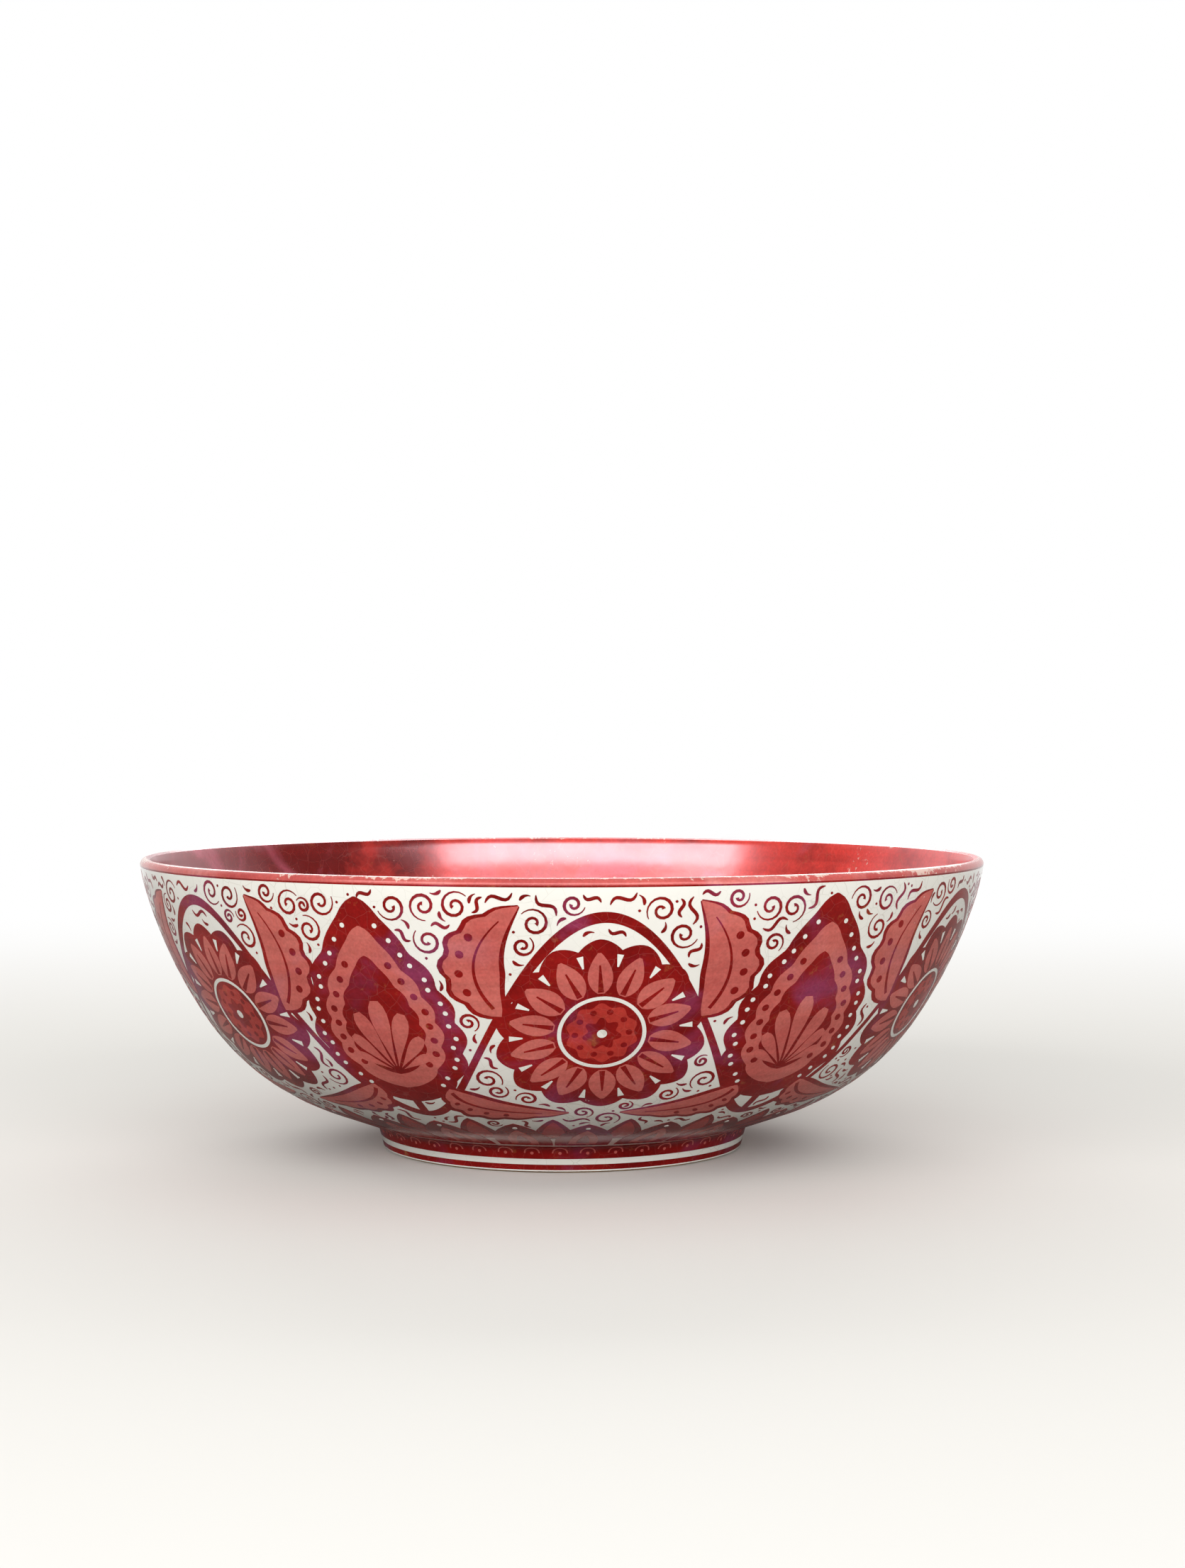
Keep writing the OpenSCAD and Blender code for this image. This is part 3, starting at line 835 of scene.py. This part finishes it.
for bay in range(bays):
    theta = first_flower + (bay + 0.5) * bay_turn + rng.normal(0.0, 0.006)
    along = palm_s + rng.normal(0.0, 0.8)
    turn = rng.normal(0.0, 0.03)
    grounds.append(stroke_film(palm_form, theta, along, turn, first_lift))
    rose_parts.append(stroke_film(palm_form * [0.74, 0.78] + [0.0, -1.0], theta, along, turn, second_lift))
    hearts.append(stroke_film(palm_form * [0.52, 0.57] + [0.0, -3.0], theta, along, turn, third_lift))
    stem = np.stack([np.zeros(5), np.linspace(-47.0, -58.0, 5)], axis=1)
    grounds.append(stroke_film(stroke(stem, 1.8, 1.8, 2), theta, along, turn, first_lift))
    for tilt, reach in zip(np.radians([-60, -40, -20, 0, 20, 40, 60]), (18, 23, 30, 34, 30, 23, 18)):
        width = 0.115 * reach * almond(12, 2.4) ** 0.55
        lobe = stroke(spoke(tilt + rng.normal(0.0, 0.02), 3.0, reach, 12), width, width, 3) + [0.0, -29.0]
        fans.append(stroke_film(lobe, theta, along, turn, fourth_lift))
    for row in np.linspace(9, 50, 8).astype(int):
        for side in (-1.0, 1.0):
            spot = np.array([side * 0.63 * palm_half[row], 0.675 * palm_path[row, 1] - 2.0])
            spots.append(blot_film(lobed(1.5, 0.0, 1, 12) + spot, 1, theta, along, turn, third_lift))
    for row in np.linspace(5, 55, 15).astype(int):
        for side in (-1.0, 1.0):
            pearl = np.array([side * (0.88 * palm_half[row] - 0.2), 0.895 * palm_path[row, 1] - 0.5])
            pearls.append(blot_film(lobed(1.0, 0.0, 1, 12) + pearl, 1, theta, along, turn, second_lift))
painted_piece("palmette_grounds", grounds, ruby_material)
painted_piece("palmette_leaves", rose_parts, rose_material)
painted_piece("palmette_hearts", hearts + spots, ruby_material)
painted_piece("palmette_fans", fans, rose_material)
painted_piece("palmette_pearls", pearls, glaze_material)


# Painted leaves
# Long toothed leaves that spring from the vine into the gaps beside the flowers and palmettes: rose,
# with a dark outline, a dark rib and a row of dark spots.
def bend(start, pull, end, count):
    """Curved path from start to end that is pulled towards a point between them."""
    share = np.linspace(0.0, 1.0, count)[:, None]
    return (1 - share) ** 2 * start + 2 * share * (1 - share) * pull + share ** 2 * end


outlines, blades, ribs = [], [], []


def paint_leaf(points, mirror, width, teeth, theta, along):
    """A leaf along a curved path, toothed on its outer side: a wide dark stroke, a rose one on it, then
    its rib and spots."""
    path = bend(*(np.array(points, dtype=float) * [mirror, 1.0])[:, None, :], 30)
    share = np.linspace(0.0, 1.0, 30)
    smooth = width * np.sin(np.pi * share ** 0.8) ** 0.85
    toothed = smooth * (0.9 + 0.32 * np.abs(np.sin(teeth * np.pi * share)))
    left, right = (toothed, smooth) if mirror > 0 else (smooth, toothed)
    edge = 2.2 * (1.0 - 0.75 * share ** 5)
    outlines.append(stroke_film(stroke(path, left + edge, right + edge, 7), theta, along, 0.0, first_lift))
    blades.append(stroke_film(stroke(path, left + 0.05, right + 0.05, 7), theta, along, 0.0, second_lift))
    rib = np.linspace(0.8, 0.25, 24)
    ribs.append(stroke_film(stroke(path[2:26], rib, rib, 2), theta, along, 0.0, third_lift))
    step = np.gradient(path, axis=0)
    normal = np.stack([-step[:, 1], step[:, 0]], axis=1) / np.linalg.norm(step, axis=1)[:, None]
    for row in (7, 11, 15, 19):
        spot = path[row] + normal[row] * mirror * 0.60 * smooth[row]
        ribs.append(blot_film(lobed(0.14 * width + 0.3, 0.0, 1, 12) + spot, 1, theta, along, 0.0, third_lift))


for bay in range(bays):
    flower_theta = first_flower + bay * bay_turn
    palm_theta = flower_theta + 0.5 * bay_turn
    for mirror in (-1.0, 1.0):
        drift = rng.normal(0.0, 1.0, (3, 2))
        upper = np.array([[47.0, -20.0], [29.0, 6.0], [58.0, 28.0]]) + drift
        lower = np.array([[57.0, 9.0], [48.0, -8.0], [9.0, -6.0]]) + 0.6 * drift
        paint_leaf(upper, mirror, 9.6, 6, palm_theta, 39.0)
        paint_leaf(lower, mirror, 6.0, 6, flower_theta, 105.0)
painted_piece("leaf_outlines", outlines, ruby_material)
painted_piece("leaf_blades", blades, rose_material)
painted_piece("leaf_ribs", ribs, ruby_material)


# Painted petal band
# A ring of upright lotus petals round the foot end of the wall, ruby with a rose leaf and a bare pearl
# in each, and the tips of a second row between them with deeper red leaves.
petal_count = 24
petal_h = 41.0
petal_s = upper_band_s - 2.4
petal_rise = np.linspace(0.0, 1.0, 18)
spacing = 2 * np.pi * np.interp(petal_s - petal_h * petal_rise, wall_s, wall_r) / petal_count


def petal_stroke(start, end, share, power):
    """A petal between two shares of the band's height: its half width is a share of the spacing there,
    and runs out to nothing at the tip."""
    rise = np.linspace(start, end, 18)
    room = 0.5 * np.interp(rise, petal_rise, spacing)
    half = share * room * (1.0 - ((rise - start) / (end - start)) ** power) ** 0.8 + 0.15
    return stroke(np.stack([0.0 * rise, petal_h * rise], axis=1), half, half, 7)


dark_parts, rose_parts, red_parts, cores, pearls = [], [], [], [], []
for petal in range(petal_count):
    theta = first_flower + petal * 2 * np.pi / petal_count + rng.normal(0.0, 0.006)
    between = theta + np.pi / petal_count
    along = petal_s + rng.normal(0.0, 0.3)
    turn = rng.normal(0.0, 0.02)
    dark_parts.append(stroke_film(petal_stroke(0.30, 0.97, 0.62, 1.9), between, along, turn, under_lift))
    red_parts.append(stroke_film(petal_stroke(0.40, 0.90, 0.36, 1.8), between, along, turn, first_lift))
    dark_parts.append(stroke_film(petal_stroke(0.0, 0.86, 0.92, 2.6), theta, along, turn, second_lift))
    rose_parts.append(stroke_film(petal_stroke(0.08, 0.66, 0.46, 2.2), theta, along, turn, third_lift))
    cores.append(stroke_film(petal_stroke(0.12, 0.50, 0.20, 1.6), theta, along, turn, fourth_lift))
    pearl = np.array([0.0, 0.74 * petal_h])
    pearls.append(blot_film(lobed(1.0, 0.0, 1, 14) + pearl, 1, theta, along, turn, fourth_lift))
painted_piece("petal_band_grounds", dark_parts, ruby_material)
painted_piece("petal_band_leaves", rose_parts, rose_material)
painted_piece("petal_band_second_leaves", red_parts, red_material)
painted_piece("petal_band_cores", cores, ruby_material)
painted_piece("petal_band_pearls", pearls, glaze_material)


# Painted filling
# Small spirals, wavy strokes, commas and dots that a fine brush put all over the bare ground between
# the larger painting, as close as they would go.
filling_top_s = rim_band_s + 3.0
filling_end_s = petal_s - 2.0
brush_gap = 0.9
sectors = 36
grid = 0.8
painted.append(on_wall(np.linspace(0.0, 2 * np.pi, 1200), rim_band_s + rim_line_w, 0.0))
taken = grid * np.unique(np.round(np.concatenate(painted) / grid), axis=0)


def sector_of(points):
    """Number of the sector round the bowl that each point is in."""
    turns = 0.5 + np.arctan2(points[:, 1], points[:, 0]) / (2 * np.pi)
    return np.floor(sectors * turns).astype(int) % sectors


def room_at(points):
    """Distance from each point to the nearest of what is painted in its own sector and the two beside it."""
    room = np.zeros(len(points))
    here, there = sector_of(points), sector_of(taken)
    for sector in range(sectors):
        block = points[here == sector]
        near = taken[(there - sector + 1) % sectors < 3]
        square = (block ** 2).sum(1)[:, None] + (near ** 2).sum(1)[None, :] - 2.0 * block @ near.T
        room[here == sector] = np.sqrt(np.maximum(square.min(axis=1), 0.0))
    return room


def spiral(size, hand):
    """A curl that winds in one and a half times, fine at its start and ending in a dot."""
    share = np.linspace(0.0, 1.0, 23) ** 1.2
    angle = hand * 2 * np.pi * 1.5 * share
    reach = size * (1.0 - 0.85 * share)
    width = np.interp(share, [0.0, 0.3, 0.9, 1.0], [0.2, 0.65, 0.5, 0.8])
    return stroke(np.stack([reach * np.cos(angle), reach * np.sin(angle)], axis=1), width, width, 2)


def wavy(size, hand):
    """A lying stroke in the shape of an S, thin at both ends."""
    share = np.linspace(-1.0, 1.0, 11)
    path = size * np.stack([share, 0.3 * hand * np.sin(np.pi * share)], axis=1)
    width = 0.2 + 0.5 * np.sqrt(1.0 - share ** 2)
    return stroke(path, width, width, 2)


def comma(size, hand):
    """A short curved stroke, thick at its head and thin at its tail."""
    share = np.linspace(-1.0, 1.0, 7)
    path = size * np.stack([share, 0.4 * hand * share ** 2], axis=1)
    width = np.interp(share, [-1.0, -0.5, 1.0], [0.3, 0.8, 0.15])
    return stroke(path, width, width, 2)


def dab(size, hand):
    """A round dot of the brush's tip, a little longer than wide."""
    share = np.linspace(-1.0, 1.0, 5)
    width = 0.9 * size * np.sqrt(1.05 - share ** 2)
    return stroke(np.stack([size * share, 0.0 * share], axis=1), width, width, 2)


# Each kind of stroke in turn, with its size, the places along it that are tried first, the room that each
# of these needs, and the number of tries
curls = []
for kind, size, probes, clear, tries in (
    (spiral, 5.8, (0.0,), 4.8, 16000),
    (spiral, 4.4, (0.0,), 3.7, 16000),
    (wavy, 5.4, (0.0, -3.7, 3.7), 1.7, 24000),
    (spiral, 3.2, (0.0,), 2.7, 16000),
    (wavy, 3.6, (0.0, -2.4, 2.4), 1.5, 24000),
    (comma, 2.2, (0.0, -1.4, 1.4), 1.4, 24000),
    (dab, 0.6, (0.0,), 1.6, 4000),
):
    theta = rng.uniform(0.0, 2 * np.pi, tries)
    along = rng.uniform(filling_top_s, filling_end_s, tries)
    turn = rng.uniform(0.0, 2 * np.pi, tries)
    hand = rng.choice([-1.0, 1.0], tries)
    for probe in probes:
        spot = on_wall(*laid(np.array([probe, 0.0]), theta, along, turn), 0.0)
        keep = room_at(spot) > clear
        theta, along, turn, hand = theta[keep], along[keep], turn[keep], hand[keep]
    flat = np.stack([kind(size, side).reshape(-1, 2) for side in hand])
    edges = on_wall(*laid(flat, theta[:, None], along[:, None], turn[:, None]), 0.0)
    least = room_at(edges.reshape(-1, 3)).reshape(len(edges), -1).min(axis=1)
    mine = np.zeros((0, 3))
    for index in np.flatnonzero(least > brush_gap):
        edge = edges[index]
        near = mine[np.linalg.norm(mine - edge.mean(axis=0), axis=1) < 3 * size]
        if len(near) and np.linalg.norm(near[:, None] - edge, axis=2).min() < brush_gap:
            continue
        place = theta[index], along[index], turn[index]
        curls.append(stroke_film(kind(size, hand[index]), *place, first_lift))
        mine = np.concatenate([mine, edge])
    taken = np.concatenate([taken, mine])
painted_piece("filling_curls", curls, ruby_material)


# Painted foot ornament
# A row of faint rose arches with a rose dot under each, drawn on the dark upper band of the foot.
arch_count = 44
arch_r = 3.0
arch_s = cream_line_s - 2.6
arches, pearls = [], []
sweep = np.linspace(-np.pi / 2, np.pi / 2, 9)
arch_path = arch_r * np.stack([np.sin(sweep), np.cos(sweep)], axis=1)
for arch in range(arch_count):
    theta = arch * 2 * np.pi / arch_count + rng.normal(0.0, 0.006)
    arches.append(stroke_film(stroke(arch_path, 0.3, 0.3, 2)[::-1], theta, arch_s, 0.0, first_lift))
    pearls.append(blot_film(lobed(0.7, 0.0, 1, 10), 1, theta, arch_s, 0.0, first_lift))
painted_piece("foot_arches", arches, rose_material)
painted_piece("foot_pearls", pearls, rose_material)
